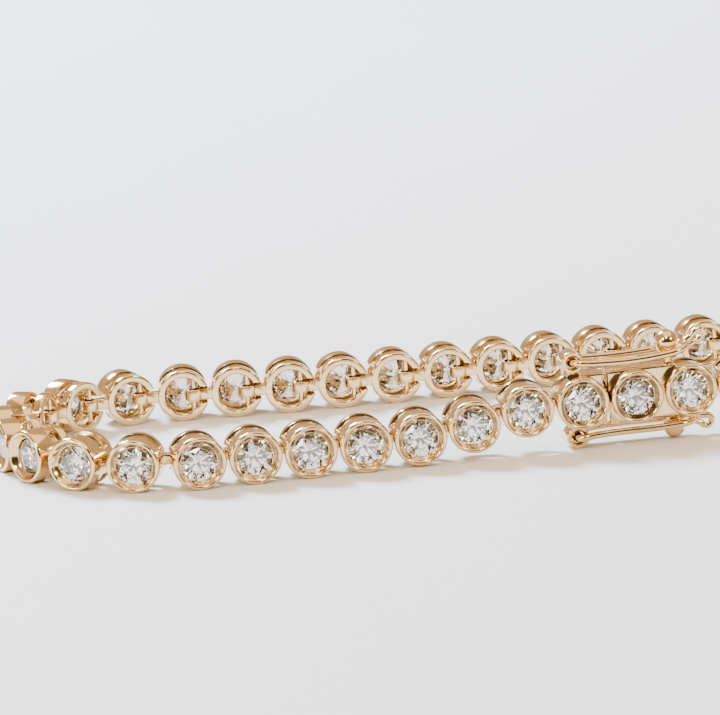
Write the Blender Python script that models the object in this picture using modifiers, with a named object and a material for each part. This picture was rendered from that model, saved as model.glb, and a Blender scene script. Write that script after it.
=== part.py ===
"""A bezel-set tennis bracelet with a box clasp and two figure-eight safety latches.

It lies on its edge as a closed loop: every stone faces outwards, and the loop's long way runs along X.
A link, and the clasp, are modelled in axes of their own: X along the chain to the right as seen from
outside, Y into the link from its front rim, and Z up. The chain is then laid link by link, pin to eye.
"""
import math

import bmesh
import bpy
from mathutils import Matrix, Vector

MM = 0.001

# The chain
LINK_PITCH = 4.27 * MM
SINGLE_LINKS = 39

# One bezel and its round stone; depths are counted from the rim's crest
BEZEL_RADIUS = 2.0 * MM
CREST_RADIUS = 1.76 * MM
LIP_RADIUS = 1.42 * MM
LIP_DEPTH = 0.5 * MM
RIM_ROUND = 0.3 * MM
CUP_DEPTH = 1.55 * MM
TABLE_RADIUS = 0.84 * MM
TABLE_DEPTH = 0.2 * MM
GIRDLE_DEPTH = 0.75 * MM
CULET_DEPTH = 1.95 * MM

# The gallery behind the cup: two crescent slots, then the rear ring
BORE_RADIUS = 1.45 * MM
SLOT_DEPTH = 0.95 * MM
RING_DEPTH = 0.7 * MM
RING_EDGE = 0.35 * MM

# The hinge: a link's tab ends in an eye round the upright pin of its right-hand neighbour
HINGE_DEPTH = 2.72 * MM
PIN_INSET = 0.85 * MM
PIN_RADIUS = 0.18 * MM
HINGE_CLEARANCE = 0.3 * MM
EYE_WALL = 0.25 * MM
TAB_HEIGHT = 0.8 * MM
TAB_WIDTH = 0.8 * MM
TAB_ROOT = 1.5 * MM
NOTCH_CLEARANCE = 0.25 * MM

# The clasp: the left bezel is on the tongue, the other two are on the box
CLASP_DEPTH = 3.4 * MM
CLASP_FRONT = 0.9 * MM
CLASP_SPLIT = 0.3 * MM
CLASP_WALL = 0.45 * MM
BOX_INSET = 0.82 * MM
TONGUE_LENGTH = 3.0 * MM
TONGUE_WIDTH = 1.6 * MM
TONGUE_THICKNESS = 0.4 * MM
TONGUE_CLEARANCE = 0.28 * MM

# The safety latches: a wire loop in a tube, snapped over a ball
WIRE_RADIUS = 0.22 * MM
TUBE_RADIUS = 0.88 * MM
TUBE_LENGTH = 1.7 * MM
TUBE_FRONT = 0.95 * MM
SEAT_WIDTH = 0.9 * MM
SEAT_INSET = 0.2 * MM
PIVOT_SHIFT = 0.4 * MM
LATCH_GAP = 2.6 * MM
LATCH_BEND = 0.45 * MM
NECK_RADIUS = 0.35 * MM
THUMB_RADIUS = 0.52 * MM
THUMB_OPENING = math.radians(54)

# Each latch's own heights and places, counted from the middle bezel's axis
UPPER = {
    "side": 1,
    "pivot_height": 3.1 * MM,
    "leg_height": 2.85 * MM,
    "ball_height": 3.68 * MM,
    "ball_radius": 0.93 * MM,
    "ball_place": 2.95 * MM,
    "loop_end": 4.4 * MM,
    "end_height": 3.3 * MM,
    "thumb_place": 5.4 * MM,
    "thumb_height": 3.85 * MM,
}
LOWER = {
    "side": -1,
    "pivot_height": 2.75 * MM,
    "leg_height": 2.5 * MM,
    "ball_height": 2.98 * MM,
    "ball_radius": 0.85 * MM,
    "ball_place": 3.08 * MM,
    "loop_end": 4.6 * MM,
    "end_height": 2.55 * MM,
    "thumb_place": 5.65 * MM,
    "thumb_height": 2.85 * MM,
}

# How the bracelet lies: the pins' route from the clasp's left end round to its right end, in metres.
# The last entries are the far bend, which slides along X until the chain closes.
ROUTE_START = (1.7 * MM, -10.7 * MM)
NEAR_ROUTE = [
    (-11.0 * MM, -10.5 * MM),
    (-23.8 * MM, -10.54 * MM),
    (-28.05 * MM, -10.53 * MM),
    (-32.07 * MM, -9.09 * MM),
    (-35.4 * MM, -6.43 * MM),
    (-37.39 * MM, -2.65 * MM),
    (-38.21 * MM, 1.54 * MM),
    (-37.54 * MM, 5.76 * MM),
    (-35.25 * MM, 9.36 * MM),
    (-31.7 * MM, 11.74 * MM),
    (-27.5 * MM, 12.51 * MM),
    (-23.27 * MM, 11.98 * MM),
    (-14.79 * MM, 10.98 * MM),
    (-1.98 * MM, 10.74 * MM),
    (10.82 * MM, 11.13 * MM),
    (19.36 * MM, 11.22 * MM),
]
FAR_BEND = [
    (28.8 * MM, 10.7 * MM),
    (34.4 * MM, 7.6 * MM),
    (37.2 * MM, 2.4 * MM),
    (37.1 * MM, -2.9 * MM),
    (34.0 * MM, -8.0 * MM),
    (28.9 * MM, -10.9 * MM),
]
FAR_BEND_SLIDE = (-14.0 * MM, 24.0 * MM)
CLOSING_STEPS = 60
ROUTE_STEPS = 24

# The tubes and balls under the clasp hold it up, and the links beside it come down to the surface:
# each hinge's share of the clasp's own lift, from the clasp outwards
LEFT_RAMP = (0.9, 0.3, 0.02)
RIGHT_RAMP = (0.88, 0.52, 0.15)

SIDES = 12
PIN_SIDES = 5
EYE_SIDES = 5
THUMB_SIDES = 6
BALL_SIDES = 10
BALL_RINGS = 5
MERGE = 0.001 * MM
FLAT_ANGLE = math.radians(0.2)
SHARP_ANGLE = math.radians(25)

LINK_DEPTH = CUP_DEPTH + SLOT_DEPTH + RING_DEPTH
WALL_MIDDLE = (BORE_RADIUS + BEZEL_RADIUS) / 2
EYE_HOLE_RADIUS = PIN_RADIUS + HINGE_CLEARANCE
EYE_RADIUS = EYE_HOLE_RADIUS + EYE_WALL
EYE_PLACE = LINK_PITCH - PIN_INSET
NOTCH_HEIGHT = TAB_HEIGHT + 2 * NOTCH_CLEARANCE
TUBE_BORE = WIRE_RADIUS + HINGE_CLEARANCE
BOX_END = LINK_PITCH - BOX_INSET
LATCH_MIDDLE = TUBE_FRONT + TUBE_LENGTH / 2
PIVOT_PLACE = -LINK_PITCH - PIVOT_SHIFT
HALF_STEP = math.pi / SIDES
# The slots start at the height of the bore's corners, half-way from its side to its top
SLOT_START = BORE_RADIUS * math.sin(3 * HALF_STEP) / math.cos(HALF_STEP)


def clear_scene():
    for obj in list(bpy.data.objects):
        bpy.data.objects.remove(obj, do_unlink=True)


def new_collection(name):
    collection = bpy.data.collections.new(name)
    bpy.context.scene.collection.children.link(collection)
    return collection


def metal(name, colour, roughness):
    material = bpy.data.materials.new(name)
    material.use_nodes = True
    shader = material.node_tree.nodes["Principled BSDF"]
    shader.inputs["Base Color"].default_value = (*colour, 1.0)
    shader.inputs["Metallic"].default_value = 1.0
    shader.inputs["Roughness"].default_value = roughness
    return material


def place(name, data):
    """Put a mesh or a curve in the scene as a workpiece."""
    obj = bpy.data.objects.new(name, data)
    bpy.context.scene.collection.objects.link(obj)
    return obj


def bake(obj):
    """Turn a workpiece and its modifiers into one plain mesh, welded and facing outwards."""
    depsgraph = bpy.context.evaluated_depsgraph_get()
    mesh = bpy.data.meshes.new_from_object(obj.evaluated_get(depsgraph))
    name = obj.name
    bpy.data.objects.remove(obj, do_unlink=True)
    shape = bmesh.new()
    shape.from_mesh(mesh)
    bmesh.ops.remove_doubles(shape, verts=shape.verts, dist=MERGE)
    bmesh.ops.dissolve_limit(shape, angle_limit=FLAT_ANGLE, verts=shape.verts, edges=shape.edges)
    bmesh.ops.recalc_face_normals(shape, faces=shape.faces)
    shape.to_mesh(mesh)
    shape.free()
    return place(name, mesh)


def from_bmesh(name, shape):
    mesh = bpy.data.meshes.new(name)
    shape.to_mesh(mesh)
    shape.free()
    return place(name, mesh)


def block(name, low, high):
    """A box between two corners."""
    low, high = Vector(low), Vector(high)
    shape = bmesh.new()
    middle = Matrix.Translation((low + high) / 2)
    bmesh.ops.create_cube(shape, size=1.0, matrix=middle @ Matrix.Diagonal((*(high - low), 1.0)))
    return from_bmesh(name, shape)


def rod(name, radius, start, end, sides):
    """A round rod between two points."""
    start, end = Vector(start), Vector(end)
    along = end - start
    turn = along.to_track_quat("Z", "Y").to_matrix().to_4x4()
    shape = bmesh.new()
    bmesh.ops.create_cone(shape, cap_ends=True, segments=sides, radius1=radius, radius2=radius,
                          depth=along.length, matrix=Matrix.Translation((start + end) / 2) @ turn)
    return from_bmesh(name, shape)


def ball(name, radius, centre):
    shape = bmesh.new()
    bmesh.ops.create_uvsphere(shape, u_segments=BALL_SIDES, v_segments=BALL_RINGS, radius=radius,
                              matrix=Matrix.Translation(centre))
    return from_bmesh(name, shape)


def turned(name, profile, closed=False):
    """Turn a profile of (radius, depth) points about the Y axis, with flats below and at the sides.

    The radii are those of the flats, so a turned piece stands exactly its radius above the surface.
    """
    grow = 1 / math.cos(HALF_STEP)
    mesh = bpy.data.meshes.new(name)
    points = [(radius * grow * math.cos(HALF_STEP), depth, radius * grow * math.sin(HALF_STEP))
              for radius, depth in profile]
    edges = [(i, i + 1) for i in range(len(points) - 1)]
    if closed:
        edges.append((len(points) - 1, 0))
    mesh.from_pydata(points, edges, [])
    obj = place(name, mesh)
    screw = obj.modifiers.new("turn", "SCREW")
    screw.axis = "Y"
    screw.angle = math.tau
    screw.steps = SIDES
    screw.render_steps = SIDES
    screw.use_merge_vertices = True
    screw.merge_threshold = MERGE
    return bake(obj)


def wire(name, points, radius):
    """A closed loop of wire through the points."""
    curve = bpy.data.curves.new(name, "CURVE")
    curve.dimensions = "3D"
    curve.bevel_depth = radius
    curve.bevel_resolution = 1
    spline = curve.splines.new("POLY")
    spline.points.add(len(points) - 1)
    for point, place_on_curve in zip(spline.points, points):
        point.co = (*place_on_curve, 1.0)
    spline.use_cyclic_u = True
    return bake(place(name, curve))


def plate(name, outlines, height):
    """A flat plate in the XY plane; the outlines after the first are its holes."""
    curve = bpy.data.curves.new(name, "CURVE")
    curve.dimensions = "2D"
    curve.fill_mode = "BOTH"
    curve.extrude = height / 2
    for outline in outlines:
        spline = curve.splines.new("POLY")
        spline.points.add(len(outline) - 1)
        for point, (x, y) in zip(spline.points, outline):
            point.co = (x, y, 0.0, 1.0)
        spline.use_cyclic_u = True
    return bake(place(name, curve))


def boolean(base, other, operation):
    """Join the other solid to the base, or cut it away, and use the other solid up."""
    modifier = base.modifiers.new("boolean", "BOOLEAN")
    modifier.operation = operation
    modifier.solver = "EXACT"
    modifier.object = other
    result = bake(base)
    bpy.data.objects.remove(other, do_unlink=True)
    return result


def join(base, *others):
    for other in others:
        base = boolean(base, other, "UNION")
    return base


def cut(base, *others):
    for other in others:
        base = boolean(base, other, "DIFFERENCE")
    return base


def shift(obj, x):
    """Slide a workpiece along the chain."""
    obj.data.transform(Matrix.Translation((x, 0.0, 0.0)))
    return obj


def arc(centre, radius, start, end, steps):
    """Points on an arc in the plane, both ends included; angles in radians."""
    angles = [start + (end - start) * i / steps for i in range(steps + 1)]
    return [(centre[0] + radius * math.cos(a), centre[1] + radius * math.sin(a)) for a in angles]


def front_profile():
    """The stone's table and crown, then the bezel's bevel and rim."""
    return [
        (0.0, TABLE_DEPTH),
        (TABLE_RADIUS, TABLE_DEPTH),
        (LIP_RADIUS, LIP_DEPTH),
        (CREST_RADIUS, 0.0),
        (BEZEL_RADIUS, RIM_ROUND),
    ]


def setting():
    """A hollow bezel with its stone, its two gallery slots and its rear ring."""
    profile = front_profile() + [
        (BEZEL_RADIUS, LINK_DEPTH - RING_EDGE),
        (BORE_RADIUS, LINK_DEPTH),
        (BORE_RADIUS, GIRDLE_DEPTH),
        (0.0, CULET_DEPTH),
    ]
    side = 2 * BEZEL_RADIUS
    back = CUP_DEPTH + SLOT_DEPTH
    upper_slot = block("upper_slot", (-side, CUP_DEPTH, SLOT_START), (side, back, side))
    lower_slot = block("lower_slot", (-side, CUP_DEPTH, -side), (side, back, -SLOT_START))
    return cut(turned("setting", profile), upper_slot, lower_slot)


def solid_setting():
    """The clasp's middle bezel, whose back is closed by the box."""
    return turned("solid_setting", front_profile() + [(BEZEL_RADIUS, CUP_DEPTH), (0.0, CUP_DEPTH)])


def tab():
    """The flat tab on a link's right side, with the eye at its end."""
    eye = (EYE_PLACE, HINGE_DEPTH)
    meet = math.pi - math.asin(TAB_WIDTH / 2 / EYE_RADIUS)
    outline = [(TAB_ROOT, HINGE_DEPTH + TAB_WIDTH / 2), (TAB_ROOT, HINGE_DEPTH - TAB_WIDTH / 2)]
    outline += arc(eye, EYE_RADIUS, -meet, meet, EYE_SIDES - 1)
    hole = arc(eye, EYE_HOLE_RADIUS, 0.0, math.tau, EYE_SIDES)[:-1]
    return plate("tab", [outline, hole], TAB_HEIGHT)


def with_pin(body):
    """Cut the notch for the neighbour's tab on the left and set the upright pin inside it."""
    notch = block("notch", (-2 * BEZEL_RADIUS, CUP_DEPTH, -NOTCH_HEIGHT / 2),
                  (-BORE_RADIUS / 2, 2 * LINK_DEPTH, NOTCH_HEIGHT / 2))
    reach = math.sqrt(WALL_MIDDLE ** 2 - PIN_INSET ** 2)
    low, high = [(-PIN_INSET, HINGE_DEPTH, z) for z in (-reach, reach)]
    pin = rod("pin", PIN_RADIUS, low, high, PIN_SIDES)
    return join(cut(body, notch), pin)


def link():
    """One link of the chain: setting, stone, tab and pin in one piece of metal."""
    return join(with_pin(setting()), tab())


def latch_tube(latch):
    """The short tube that a latch turns in, on its seat above or below the tongue's bezel."""
    height = latch["side"] * latch["pivot_height"]
    back = TUBE_FRONT + TUBE_LENGTH
    profile = [(TUBE_BORE, TUBE_FRONT), (TUBE_RADIUS, TUBE_FRONT), (TUBE_RADIUS, back), (TUBE_BORE, back)]
    tube = turned("tube", profile, closed=True)
    tube.data.transform(Matrix.Translation((PIVOT_PLACE, 0.0, height)))
    ends = sorted((latch["side"] * (BEZEL_RADIUS - CLASP_WALL),
                   height - latch["side"] * (TUBE_RADIUS + TUBE_BORE) / 2))
    seat = block("seat", (PIVOT_PLACE - SEAT_WIDTH / 2, TUBE_FRONT + SEAT_INSET, ends[0]),
                 (PIVOT_PLACE + SEAT_WIDTH / 2, back - SEAT_INSET, ends[1]))
    return join(tube, seat)


def ball_stud(latch):
    """The ball on its neck that a latch snaps over."""
    place_x = latch["ball_place"]
    height = latch["side"] * latch["ball_height"]
    root = latch["side"] * (BEZEL_RADIUS - CLASP_WALL)
    centre = (place_x, LATCH_MIDDLE, height)
    neck = rod("neck", NECK_RADIUS, (place_x, LATCH_MIDDLE, root), centre, PIN_SIDES)
    return join(ball("ball", latch["ball_radius"], centre), neck)


def clasp_tongue():
    """The clasp's left part: a bezel on a backing block, the tongue, and the two latch tubes."""
    split = -LINK_PITCH / 2 - CLASP_SPLIT / 2
    body = shift(with_pin(setting()), -LINK_PITCH)
    backing = block("backing", (-LINK_PITCH, CLASP_FRONT, -BEZEL_RADIUS),
                    (split, CLASP_DEPTH, BEZEL_RADIUS))
    middle = tongue_depth()
    tongue = block("tongue", (split - CLASP_WALL, middle - TONGUE_THICKNESS / 2, -TONGUE_WIDTH / 2),
                   (split + TONGUE_LENGTH, middle + TONGUE_THICKNESS / 2, TONGUE_WIDTH / 2))
    return join(body, backing, tongue, latch_tube(UPPER), latch_tube(LOWER))


def tongue_depth():
    """The tongue's middle, in the hollow between the box's bezels and its back wall."""
    return (CUP_DEPTH + CLASP_WALL + CLASP_DEPTH - CLASP_WALL) / 2


def clasp_box():
    """The clasp's right part: two bezels on a hollow box, the two ball studs, and the end tab."""
    split = -LINK_PITCH / 2 + CLASP_SPLIT / 2
    shell = block("shell", (split, CLASP_FRONT, -BEZEL_RADIUS), (BOX_END, CLASP_DEPTH, BEZEL_RADIUS))
    end_bezel = shift(join(setting(), tab()), LINK_PITCH)
    body = join(solid_setting(), shell, end_bezel, ball_stud(UPPER), ball_stud(LOWER))
    half_width = TONGUE_WIDTH / 2 + TONGUE_CLEARANCE
    half_depth = TONGUE_THICKNESS / 2 + TONGUE_CLEARANCE
    middle = tongue_depth()
    end = split - CLASP_SPLIT + TONGUE_LENGTH + TONGUE_CLEARANCE
    hollow = block("hollow", (split - CLASP_SPLIT, middle - half_depth, -half_width),
                   (end, middle + half_depth, half_width))
    return cut(body, hollow)


def latch(shape):
    """A safety latch: a long loop from the tube's pin round the ball, and a small loop for the thumb."""
    side = shape["side"]
    pivot = side * shape["pivot_height"]
    leg = side * shape["leg_height"]
    end = side * shape["end_height"]
    half = LATCH_GAP / 2
    straight_end = shape["ball_place"]
    tip = shape["loop_end"]
    front_leg = [
        (PIVOT_PLACE, half - LATCH_BEND, pivot),
        (PIVOT_PLACE + LATCH_BEND / 2, half - LATCH_BEND / 4, pivot),
        (PIVOT_PLACE + 3 * LATCH_BEND, half, leg),
        (straight_end - LATCH_BEND, half, leg),
        ((straight_end + tip) / 2, half - LATCH_BEND / 3, (leg + end) / 2),
        (tip - LATCH_BEND / 4, half - 1.5 * LATCH_BEND, end),
    ]
    loop = [(x, LATCH_MIDDLE - y, z) for x, y, z in front_leg]
    loop += [(x, LATCH_MIDDLE + y, z) for x, y, z in reversed(front_leg)]
    thumb = (shape["thumb_place"], side * shape["thumb_height"])
    away = math.atan2(thumb[1] - end, thumb[0] - tip)
    sweep = math.pi - THUMB_OPENING
    ring = arc(thumb, THUMB_RADIUS, away - sweep, away + sweep, THUMB_SIDES)
    thumb_loop = [(x, LATCH_MIDDLE, z) for x, z in [(tip, end)] + ring]
    return join(wire("loop", loop, WIRE_RADIUS), wire("thumb", thumb_loop, WIRE_RADIUS))


def smooth_route(points):
    """A finely stepped smooth curve through the points, straight on at both ends."""
    first = 2 * points[0] - points[1]
    last = 2 * points[-1] - points[-2]
    padded = [first] + points + [last]
    curve = []
    for a, b, c, d in zip(padded, padded[1:], padded[2:], padded[3:]):
        knots = [0.0]
        for start, end in ((a, b), (b, c), (c, d)):
            knots.append(knots[-1] + math.sqrt((end - start).length))
        for step in range(ROUTE_STEPS):
            t = knots[1] + (knots[2] - knots[1]) * step / ROUTE_STEPS
            curve.append(catmull_rom((a, b, c, d), knots, t))
    curve.append(points[-1])
    return curve


def catmull_rom(corners, knots, t):
    """A point on the curve through the middle two of four corners."""
    first, second, third = [blend(corners[i], corners[i + 1], knots[i], knots[i + 1], t) for i in range(3)]
    before = blend(first, second, knots[0], knots[2], t)
    after = blend(second, third, knots[1], knots[3], t)
    return blend(before, after, knots[1], knots[2], t)


def blend(a, b, low, high, t):
    return a.lerp(b, (t - low) / (high - low))


def step_along(curve, start, segment, distance):
    """The first point of the curve, from a segment on, at a distance from the start."""
    for i in range(segment, len(curve) - 1):
        if (curve[i + 1] - start).length >= distance:
            return intersect(curve[i], curve[i + 1], start, distance), i
    beyond = (curve[-1] - curve[-2]).normalized()
    missing = distance - (curve[-1] - start).length
    return curve[-1] + beyond * missing, len(curve) - 2


def intersect(a, b, centre, distance):
    """Where the line from a to b leaves the circle about the centre."""
    along = (b - a).normalized()
    foot = a + along * (centre - a).dot(along)
    return foot + along * math.sqrt(distance ** 2 - (foot - centre).length_squared)


def clasp_heights():
    """The heights of the clasp's two end hinges, with its lower tube and lower ball on the surface."""
    tube_reach = LOWER["pivot_height"] + TUBE_RADIUS
    ball_reach = LOWER["ball_height"] + LOWER["ball_radius"]
    slope = (ball_reach - tube_reach) / (LOWER["ball_place"] - PIVOT_PLACE)
    middle = tube_reach - slope * PIVOT_PLACE + HALF_STEP * TUBE_RADIUS * slope
    left = middle + slope * (-LINK_PITCH - PIN_INSET)
    right = middle + slope * (LINK_PITCH + EYE_PLACE)
    return left, right


def hinge_heights():
    """Each hinge's height, from the clasp's left end round to its right end."""
    left, right = clasp_heights()
    heights = [BEZEL_RADIUS] * (SINGLE_LINKS + 1)
    heights[0] = left
    heights[-1] = right
    for i, share in enumerate(LEFT_RAMP):
        heights[1 + i] = BEZEL_RADIUS + share * (left - BEZEL_RADIUS)
    for i, share in enumerate(RIGHT_RAMP):
        heights[-2 - i] = BEZEL_RADIUS + share * (right - BEZEL_RADIUS)
    return heights


def lay_hinges(slide, heights):
    """Step from hinge to hinge along the route, with the far bend slid along X."""
    start = Vector(ROUTE_START)
    rise = heights[-1] - heights[0]
    clasp_run = math.sqrt((3 * LINK_PITCH) ** 2 - rise ** 2)
    end = start + Vector((clasp_run, 0.0))
    far = [Vector((x + slide, y)) for x, y in FAR_BEND]
    curve = smooth_route([start] + [Vector(point) for point in NEAR_ROUTE] + far + [end])
    hinges = [start]
    segment = 0
    for i in range(1, SINGLE_LINKS):
        run = math.sqrt(LINK_PITCH ** 2 - (heights[i] - heights[i - 1]) ** 2)
        point, segment = step_along(curve, hinges[-1], segment, run)
        hinges.append(point)
    last_run = math.sqrt(LINK_PITCH ** 2 - (heights[-1] - heights[-2]) ** 2)
    excess = (end - hinges[-1]).length - last_run
    return hinges + [end], excess


def closed_hinges():
    """Slide the far bend until the last link just reaches the clasp, and centre the loop."""
    heights = hinge_heights()
    low, high = FAR_BEND_SLIDE
    for _ in range(CLOSING_STEPS):
        slide = (low + high) / 2
        hinges, excess = lay_hinges(slide, heights)
        if excess < 0:
            low = slide
        else:
            high = slide
    middle_x = (min(h.x for h in hinges) + max(h.x for h in hinges)) / 2
    middle_y = (min(h.y for h in hinges) + max(h.y for h in hinges)) / 2
    return [Vector((h.x - middle_x, h.y - middle_y, z)) for h, z in zip(hinges, heights)]


def pose(left_hinge, right_hinge, left_place):
    """The matrix that lays a piece's hinge line, at left_place in its own axes, between two hinges."""
    along = (right_hinge - left_hinge).normalized()
    inwards = Vector((0.0, 0.0, 1.0)).cross(along).normalized()
    up = along.cross(inwards)
    turn = Matrix((along, inwards, up)).transposed().to_4x4()
    return Matrix.Translation(left_hinge) @ turn @ Matrix.Translation((-left_place, -HINGE_DEPTH, 0.0))


def finish(obj, name, material, collection, matrix):
    """Name a finished piece, give it its metal and lay it in place."""
    obj.name = name
    obj.data.name = name
    obj.data.materials.clear()
    obj.data.materials.append(material)
    obj.data.shade_smooth()
    obj.data.set_sharp_from_angle(angle=SHARP_ANGLE)
    for other in list(obj.users_collection):
        other.objects.unlink(obj)
    collection.objects.link(obj)
    obj.matrix_world = matrix
    return obj


def latch_pose(clasp_matrix, shape):
    """A latch's own origin is on its pivot."""
    pivot = (PIVOT_PLACE, LATCH_MIDDLE, shape["side"] * shape["pivot_height"])
    return clasp_matrix @ Matrix.Translation(pivot)


def main():
    clear_scene()
    bracelet = new_collection("tennis_bracelet")
    gold = metal("rose_gold", (0.82, 0.6, 0.42), 0.2)
    hinges = closed_hinges()

    first = link()
    for i in range(1, SINGLE_LINKS + 1):
        piece = first if i == 1 else place("link", first.data)
        finish(piece, f"link_{i:02d}", gold, bracelet, pose(hinges[i], hinges[i - 1], -PIN_INSET))

    clasp_matrix = pose(hinges[0], hinges[-1], -LINK_PITCH - PIN_INSET)
    finish(clasp_tongue(), "clasp_tongue", gold, bracelet, clasp_matrix)
    finish(clasp_box(), "clasp_box", gold, bracelet, clasp_matrix)
    for name, shape in (("upper_latch", UPPER), ("lower_latch", LOWER)):
        piece = latch(shape)
        pivot = latch_pose(Matrix.Identity(4), shape)
        piece.data.transform(pivot.inverted())
        finish(piece, name, gold, bracelet, latch_pose(clasp_matrix, shape))


main()
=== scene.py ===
"""A bezel-set tennis bracelet in polished rose gold, lying on its edge on a pale table.

The settings, the cut stones, the box clasp and its two safety latches are modelled here in their own axes:
X along the chain to the right as seen from outside, Y into the piece from its front rim, and Z up. Each is
then laid where the frame's own piece lies.
"""
import math

import bpy
from mathutils import Matrix, Vector


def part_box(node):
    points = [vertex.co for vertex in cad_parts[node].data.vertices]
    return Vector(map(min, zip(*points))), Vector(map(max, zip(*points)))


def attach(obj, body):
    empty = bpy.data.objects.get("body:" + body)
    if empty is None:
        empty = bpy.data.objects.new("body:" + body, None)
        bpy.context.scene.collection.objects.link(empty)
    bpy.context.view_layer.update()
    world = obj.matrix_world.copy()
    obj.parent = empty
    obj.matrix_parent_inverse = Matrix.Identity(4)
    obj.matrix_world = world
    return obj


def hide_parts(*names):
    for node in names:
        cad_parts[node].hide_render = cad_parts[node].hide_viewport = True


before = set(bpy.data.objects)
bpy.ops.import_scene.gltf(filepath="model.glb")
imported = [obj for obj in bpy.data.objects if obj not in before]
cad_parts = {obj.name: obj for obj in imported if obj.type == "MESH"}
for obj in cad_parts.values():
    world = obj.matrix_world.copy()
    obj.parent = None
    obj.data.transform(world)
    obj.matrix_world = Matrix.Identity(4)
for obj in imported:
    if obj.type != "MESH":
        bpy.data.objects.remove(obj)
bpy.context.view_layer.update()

bl_info = {
    "name": "Tennis Bracelet",
    "version": (1, 0, 0),
    "blender": (4, 5, 0),
    "location": "View3D > Sidebar > Bracelet",
    "description": "Models and finishes a bezel-set tennis bracelet with a box clasp and safety latches",
    "category": "Object",
}

MM = 0.001
SINGLE_LINKS = 39
MERGE = 1e-6
LAY_TOLERANCE = 0.3 * MM
STONE_TURN = math.radians(17)
FLOOR_SIZE = 6.0
SMOOTH_ANGLE = math.radians(32)

# The frame's turned pieces have this many flat sides
FRAME_SIDES = 12

# How finely the round pieces are drawn
BEZEL_SEGMENTS = 72
RIM_STEPS = 6
LIP_STEPS = 4
PIN_SEGMENTS = 20
EYE_SEGMENTS = 48
HOLE_SEGMENTS = 32
TUBE_SEGMENTS = 40
BALL_SEGMENTS = 40
BALL_RINGS = 24
NECK_SEGMENTS = 28
WIRE_STEPS = 10
WIRE_ROUNDNESS = 5
THUMB_STEPS = 8

# The bezel's lip, where its bead starts, the stone's seat behind them, and the rear ring's rounding
LIP_ROUND = 0.05 * MM
LIP_BACK = (0.01 * MM, 0.14 * MM)
BEAD_START = 1.1 * math.pi
SEAT_PLAY = 0.02 * MM
SEAT_BEFORE_GIRDLE = 0.08 * MM
SEAT_BEHIND_GIRDLE = 0.06 * MM
LEDGE_WIDTH = 0.1 * MM
LEDGE_DEPTH = 0.28 * MM
BORE_START = 0.45 * MM
RING_ROUND = 0.16 * MM

# The gallery slots, the notch that a tab comes in through, and the tab's own rounding
SLOT_ROUND = 0.12 * MM
NOTCH_PLAY = 0.25 * MM
NOTCH_SETBACK = 0.1 * MM
NOTCH_ROUND = 0.1 * MM
TAB_ROUND = 0.12 * MM
TAB_ROUND_STEPS = 3
TAB_CORNER = math.radians(50)

# The clasp's plates, the pockets in them, and how far the middle bezel's cup reaches into the box
PLATE_ROUND = 0.14 * MM
POCKET_HALF_WIDTH = 1.15 * MM
POCKET_REACH = 0.5 * MM
POCKET_FLOOR = 0.5 * MM
POCKET_EDGE = 0.2 * MM
TONGUE_POCKET_DEPTH = 1.1 * MM
BOX_POCKET_DEPTH = 0.14 * MM
CUP_IN_BOX = 0.6 * MM

# The hollow behind each of the clasp's stones, and the metal left behind it
ROOM_START = 0.4 * MM
ROOM_REACH = 1.0 * MM
BACK_WALL = 0.45 * MM

# The tongue and the hollow that takes it, with half their sizes into the piece and upwards
TONGUE_ROOT = 0.45 * MM
TONGUE_LENGTH = 3.0 * MM
TONGUE_HALF = (0.2 * MM, 0.8 * MM)
TONGUE_ROUND = 0.06 * MM
HOLLOW_REACH = 1.0 * MM
HOLLOW_HALF = (0.48 * MM, 1.08 * MM)

# The latches' tubes and their seats, and how deep seats and necks are sunk in the bezels
TUBE_ROUND = 0.12 * MM
SEAT_HALF_WIDTH = 0.45 * MM
SEAT_INSET = 0.2 * MM
ROOT_SINK = 0.45 * MM
THUMB_OPENING = math.radians(50)

# The camera, a long lens rolled a little clockwise
CAMERA_PLACE = (-97.02 * MM, -440.06 * MM, 99.02 * MM)
CAMERA_TARGET = (-6.41 * MM, 28.67 * MM, 0.0)
CAMERA_ROLL = math.radians(-3.48)
CAMERA_LENS = 293.9
CAMERA_SENSOR = 36.0
CAMERA_CLIP = (0.01, 20.0)

# Name, place, size, power and colour of each soft light; all face the bracelet
LIGHTS = [
    ("window_behind_left", (-0.17, 0.4, 0.4), (0.16, 0.16), 15.5, "#CCE1FF"),
    ("ceiling_bounce", (0.1, 0.0, 0.6), (0.7, 0.7), 2.6, "#FFE4C8"),
    ("card_front_left", (-0.34, -0.3, 0.3), (0.14, 0.14), 1.2, "#FFF4E6"),
    ("card_front_right", (0.3, -0.34, 0.26), (0.1, 0.1), 0.8, "#FFF4E6"),
    ("card_over_camera", (-0.05, -0.36, 0.42), (0.12, 0.08), 0.8, "#FFF4E6"),
    ("card_low_left", (-0.42, -0.16, 0.1), (0.08, 0.08), 0.5, "#FFF4E6"),
]

# The room's colour, and how its strength grows from the camera's side to the middle
ROOM_COLOUR = "#FFD8A8"
ROOM_SPAN = (-0.9, 0.0)
ROOM_STRENGTH = (0.08, 0.85)

# The gold's clouds of tone, and the marks, gloss and ripple that the polishing mop leaves
GOLD_CLOUDS = 3.0 * MM
MOP_MARKS = 0.5 * MM
GOLD_ROUGHNESS = (0.07, 0.2)
RIPPLE_STRENGTH = 0.08
RIPPLE_DEPTH = 0.02 * MM

# The diamond's index, and the trace of warmth that comes and goes from stone to stone
DIAMOND_INDEX = 2.42
WARM_STONE = "#FBF8F2"
WARMTH_SPREAD = 6.0 * MM

# The table's clouds of tone and its sheen
BOARD_CLOUDS = 40 * MM
BOARD_ROUGHNESS = 0.55

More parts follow.
